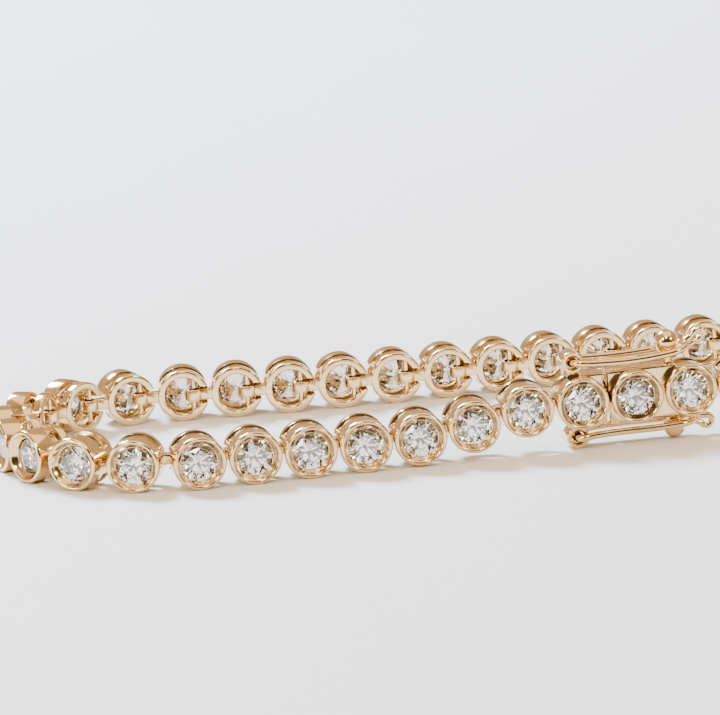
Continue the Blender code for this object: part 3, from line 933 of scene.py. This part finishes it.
def add_node(tree, kind, links=None, **settings):
    """Add a node with its settings, and with its inputs set or linked by name."""
    node = tree.nodes.new(kind)
    for key, value in settings.items():
        setattr(node, key, value)
    for name, value in (links or {}).items():
        if isinstance(value, bpy.types.NodeSocket):
            tree.links.new(value, node.inputs[name])
        else:
            node.inputs[name].default_value = value
    return node


def new_material(name):
    """A new material with its node tree and its shader."""
    material = bpy.data.materials.new(name)
    material.use_nodes = True
    return material, material.node_tree, material.node_tree.nodes["Principled BSDF"]


def cloudy_colour(tree, shader, place, width, detail, first, second):
    """Let the base colour wander between two colours in soft clouds of this width."""
    clouds = add_node(tree, "ShaderNodeTexNoise", {"Vector": place, "Scale": 1 / width, "Detail": detail})
    tone = add_node(tree, "ShaderNodeMix", {"Factor": clouds.outputs["Fac"]}, data_type="RGBA")
    tone.inputs["A"].default_value = (*first, 1.0)
    tone.inputs["B"].default_value = (*second, 1.0)
    tree.links.new(tone.outputs["Result"], shader.inputs["Base Color"])


def polished_gold(finish):
    """Rose gold castings, tumbled and hand polished, which leave faint clouds and hairlines in the gloss."""
    material, tree, shader = new_material("rose_gold_hand_polished")
    place = add_node(tree, "ShaderNodeTexCoord").outputs["Object"]
    # Soft clouds of a slightly redder gold, most of a link across, keep the chain from looking uniform
    cloudy_colour(tree, shader, place, GOLD_CLOUDS, 2.0, finish.gold, finish.gold_shade)
    # The mop's finer marks break the reflections up a little
    marks = add_node(tree, "ShaderNodeTexNoise", {"Vector": place, "Scale": 1 / MOP_MARKS, "Detail": 4.0})
    low, high = GOLD_ROUGHNESS
    gloss = add_node(tree, "ShaderNodeMapRange",
                     {"Value": marks.outputs["Fac"], "To Min": low, "To Max": high})
    tree.links.new(gloss.outputs["Result"], shader.inputs["Roughness"])
    ripple = add_node(tree, "ShaderNodeBump", {"Height": marks.outputs["Fac"], "Strength": RIPPLE_STRENGTH,
                                              "Distance": RIPPLE_DEPTH})
    tree.links.new(ripple.outputs["Normal"], shader.inputs["Normal"])
    shader.inputs["Metallic"].default_value = 1.0
    return material


def cut_diamond():
    """Clear diamond, cut and polished; its high index gives the bright and dark facets."""
    material, tree, shader = new_material("diamond_brilliant_cut")
    place = add_node(tree, "ShaderNodeTexCoord").outputs["Object"]
    # A trace of warmth that differs from stone to stone
    cloudy_colour(tree, shader, place, WARMTH_SPREAD, 0.0, (1.0, 1.0, 1.0), linear(WARM_STONE))
    shader.inputs["Roughness"].default_value = 0.0
    shader.inputs["IOR"].default_value = DIAMOND_INDEX
    shader.inputs["Transmission Weight"].default_value = 1.0
    return material


def matte_board(finish):
    """A board painted pale with a roller, so its tone wanders slightly."""
    material, tree, shader = new_material("painted_board_matte")
    place = add_node(tree, "ShaderNodeTexCoord").outputs["Object"]
    cloudy_colour(tree, shader, place, BOARD_CLOUDS, 2.0, finish.table, finish.table_shade)
    shader.inputs["Roughness"].default_value = BOARD_ROUGHNESS
    return material


def softbox(name, place, size, power, tint):
    """A rectangular soft light that faces the bracelet."""
    clear_selection()
    bpy.ops.object.light_add(type="AREA", location=place)
    light = bpy.context.object
    light.name = name
    light.data.shape = "RECTANGLE"
    light.data.size = size[0]
    light.data.size_y = size[1]
    light.data.energy = power
    light.data.color = linear(tint)
    light.rotation_euler = Vector(place).to_track_quat("Z", "Y").to_euler()
    return light


class BRACELET_OT_chain(bpy.types.Operator):
    """Model one link and its stone, and lay them thirty-nine times round the loop"""

    bl_idname = "bracelet.chain"
    bl_label = "Chain Links"

    def execute(self, context):
        sizes = context.scene.bracelet_sizes
        gold = shared_material(context, "gold")
        clear = shared_material(context, "diamond")
        setting = link_setting(sizes)
        stone = brilliant(sizes)
        for number, matrix in enumerate(link_poses(sizes), 1):
            piece = lay(copied(setting, f"link_setting_{number:02d}"), matrix)
            check_place(piece, f"link_{number:02d}")
            declare(piece, "bracelet", gold, f"link_{number:02d}")
            turn = Matrix.Rotation(number * STONE_TURN, 4, "Y")
            gem = lay(copied(stone, f"link_stone_{number:02d}"), matrix @ turn)
            declare(gem, "bracelet", clear)
        for workpiece in (setting, stone):
            bpy.data.objects.remove(workpiece, do_unlink=True)
        return {"FINISHED"}


class BRACELET_OT_clasp_tongue(bpy.types.Operator):
    """Model the clasp's left part, with its tongue, its latch tubes and its stone"""

    bl_idname = "bracelet.clasp_tongue"
    bl_label = "Clasp Tongue"

    def execute(self, context):
        sizes = context.scene.bracelet_sizes
        matrix = clasp_pose(sizes)
        piece = lay(clasp_tongue_body(sizes), matrix)
        piece.name = "clasp_tongue_body"
        check_place(piece, "clasp_tongue")
        declare(piece, "bracelet", shared_material(context, "gold"), "clasp_tongue")
        stone = lay(brilliant(sizes), matrix @ Matrix.Translation((-sizes.link_pitch, 0.0, 0.0)))
        stone.name = "clasp_stone_1"
        declare(stone, "bracelet", shared_material(context, "diamond"))
        return {"FINISHED"}


class BRACELET_OT_clasp_box(bpy.types.Operator):
    """Model the clasp's right part, with its box, its two stones and its ball studs"""

    bl_idname = "bracelet.clasp_box"
    bl_label = "Clasp Box"

    def execute(self, context):
        sizes = context.scene.bracelet_sizes
        matrix = clasp_pose(sizes)
        piece = lay(clasp_box_body(sizes), matrix)
        check_place(piece, "clasp_box")
        declare(piece, "bracelet", shared_material(context, "gold"), "clasp_box")
        for number in (2, 3):
            place = Matrix.Translation(((number - 2) * sizes.link_pitch, 0.0, 0.0))
            turn = Matrix.Rotation(number * STONE_TURN, 4, "Y")
            stone = lay(brilliant(sizes), matrix @ place @ turn)
            stone.name = f"clasp_stone_{number}"
            declare(stone, "bracelet", shared_material(context, "diamond"))
        return {"FINISHED"}


class BRACELET_OT_latches(bpy.types.Operator):
    """Bend the two safety latches and lay them in their tubes and over their balls"""

    bl_idname = "bracelet.latches"
    bl_label = "Safety Latches"

    def execute(self, context):
        sizes = context.scene.bracelet_sizes
        matrix = clasp_pose(sizes)
        for node, shape in (("upper_latch", UPPER), ("lower_latch", LOWER)):
            piece = lay(safety_latch(sizes, shape), matrix)
            piece.name = f"{node}_wire"
            declare(piece, node, shared_material(context, "gold"), node)
        return {"FINISHED"}


class BRACELET_OT_studio(bpy.types.Operator):
    """Set the pale table, the soft lights and the camera at the photograph's angle"""

    bl_idname = "bracelet.studio"
    bl_label = "Studio"

    def execute(self, context):
        clear_selection()
        bpy.ops.mesh.primitive_plane_add(size=FLOOR_SIZE)
        floor = named("table")
        floor.data.materials.append(matte_board(context.scene.bracelet_finish))
        for light in LIGHTS:
            softbox(*light)
        set_world(context.scene)
        set_camera(context.scene)
        return {"FINISHED"}


def set_world(scene):
    """A pale room: bright behind and above, dimmer on the camera's side."""
    world = bpy.data.worlds.new("pale_room")
    world.use_nodes = True
    scene.world = world
    tree = world.node_tree
    background = tree.nodes["Background"]
    direction = add_node(tree, "ShaderNodeTexCoord").outputs["Generated"]
    split = add_node(tree, "ShaderNodeSeparateXYZ", {"Vector": direction})
    depth = add_node(tree, "ShaderNodeMapRange",
                     {"Value": split.outputs["Y"], "From Min": ROOM_SPAN[0], "From Max": ROOM_SPAN[1],
                      "To Min": ROOM_STRENGTH[0], "To Max": ROOM_STRENGTH[1]})
    background.inputs["Color"].default_value = (*linear(ROOM_COLOUR), 1.0)
    tree.links.new(depth.outputs["Result"], background.inputs["Strength"])


def set_camera(scene):
    """The photograph's view: a long lens, a little above the table and rolled slightly."""
    bpy.ops.object.camera_add(location=CAMERA_PLACE)
    camera = bpy.context.object
    camera.name = "camera"
    aim = (Vector(CAMERA_TARGET) - Vector(CAMERA_PLACE)).to_track_quat("-Z", "Y").to_matrix()
    roll = Matrix.Rotation(CAMERA_ROLL, 3, "Z")
    camera.rotation_euler = (aim @ roll).to_euler()
    camera.data.lens = CAMERA_LENS
    camera.data.sensor_width = CAMERA_SENSOR
    camera.data.clip_start, camera.data.clip_end = CAMERA_CLIP
    scene.camera = camera


def shared_material(context, kind):
    """The bracelet's gold or diamond, made the first time that a piece needs it."""
    names = {"gold": "rose_gold_hand_polished", "diamond": "diamond_brilliant_cut"}
    material = bpy.data.materials.get(names[kind])
    if material:
        return material
    if kind == "gold":
        return polished_gold(context.scene.bracelet_finish)
    return cut_diamond()


class BRACELET_PT_sidebar(bpy.types.Panel):
    """The bracelet's pieces, in the order in which they are made"""

    bl_idname = "BRACELET_PT_sidebar"
    bl_label = "Tennis Bracelet"
    bl_space_type = "VIEW_3D"
    bl_region_type = "UI"
    bl_category = "Bracelet"

    def draw(self, context):
        for item in OPERATORS:
            self.layout.operator(item.bl_idname)
        for group in (context.scene.bracelet_sizes, context.scene.bracelet_finish):
            for key in group.__annotations__:
                self.layout.prop(group, key)


OPERATORS = [BRACELET_OT_chain, BRACELET_OT_clasp_tongue, BRACELET_OT_clasp_box, BRACELET_OT_latches,
             BRACELET_OT_studio]
CLASSES = [BraceletSizes, BraceletFinish, *OPERATORS, BRACELET_PT_sidebar]


def register():
    for item in CLASSES:
        bpy.utils.register_class(item)
    bpy.types.Scene.bracelet_sizes = bpy.props.PointerProperty(type=BraceletSizes)
    bpy.types.Scene.bracelet_finish = bpy.props.PointerProperty(type=BraceletFinish)


def unregister():
    del bpy.types.Scene.bracelet_finish
    del bpy.types.Scene.bracelet_sizes
    for item in reversed(CLASSES):
        bpy.utils.unregister_class(item)


def main():
    register()
    bpy.ops.bracelet.chain()
    bpy.ops.bracelet.clasp_tongue()
    bpy.ops.bracelet.clasp_box()
    bpy.ops.bracelet.latches()
    bpy.ops.bracelet.studio()


if __name__ == "__main__":
    main()
